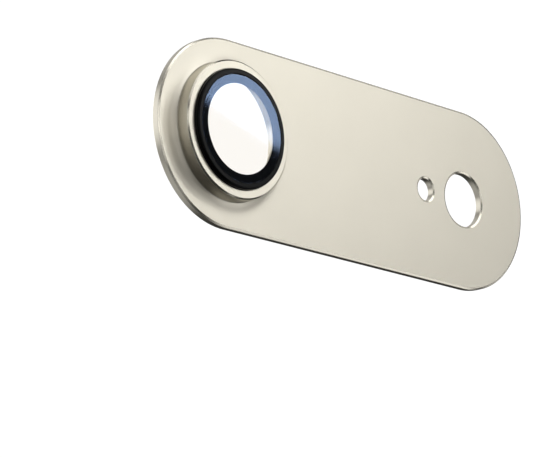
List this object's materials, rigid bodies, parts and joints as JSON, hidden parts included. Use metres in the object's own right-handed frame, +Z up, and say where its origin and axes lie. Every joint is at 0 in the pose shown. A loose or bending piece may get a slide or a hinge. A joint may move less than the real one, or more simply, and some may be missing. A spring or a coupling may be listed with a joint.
{
  "type": "phone camera lens cover",
  "caption": "Pill-shaped metal plate with a raised glazed collar at one end and two round pass-through holes at the other, held on a phone's raised camera area by an adhesive film.",
  "frame": {"origin": "middle of the adhesive face, the face that meets the phone", "axes": "upright as on a standing phone: +Z up, +X along the plate from the lens end to the light end, +Y into the phone, so the front faces -Y"},
  "size_m": [0.0698, 0.004, 0.0248],
  "materials": {
    "adhesive_pad": "matt double-sided film",
    "cover_plate": "fine bead-blasted champagne anodised",
    "lens_collar": "satin turned champagne anodised",
    "collar_bond": "clear bond film",
    "glass_bezel": "black anodised, semi-gloss",
    "glass_adhesive": "clear bond film",
    "glass_mask": "black ink seen through glass",
    "lens_glass": "clear, bluish anti-reflection coating"
  },
  "bodies": {
    "root": {"adhesive_pad": "adhesive_pad", "cover_plate": "cover_plate", "lens_collar": "lens_collar", "collar_bond": "collar_bond", "glass_bezel": "glass_bezel", "glass_adhesive": "glass_adhesive", "glass_mask": "glass_mask", "lens_glass": "lens_glass"}
  },
  "joints": []
}
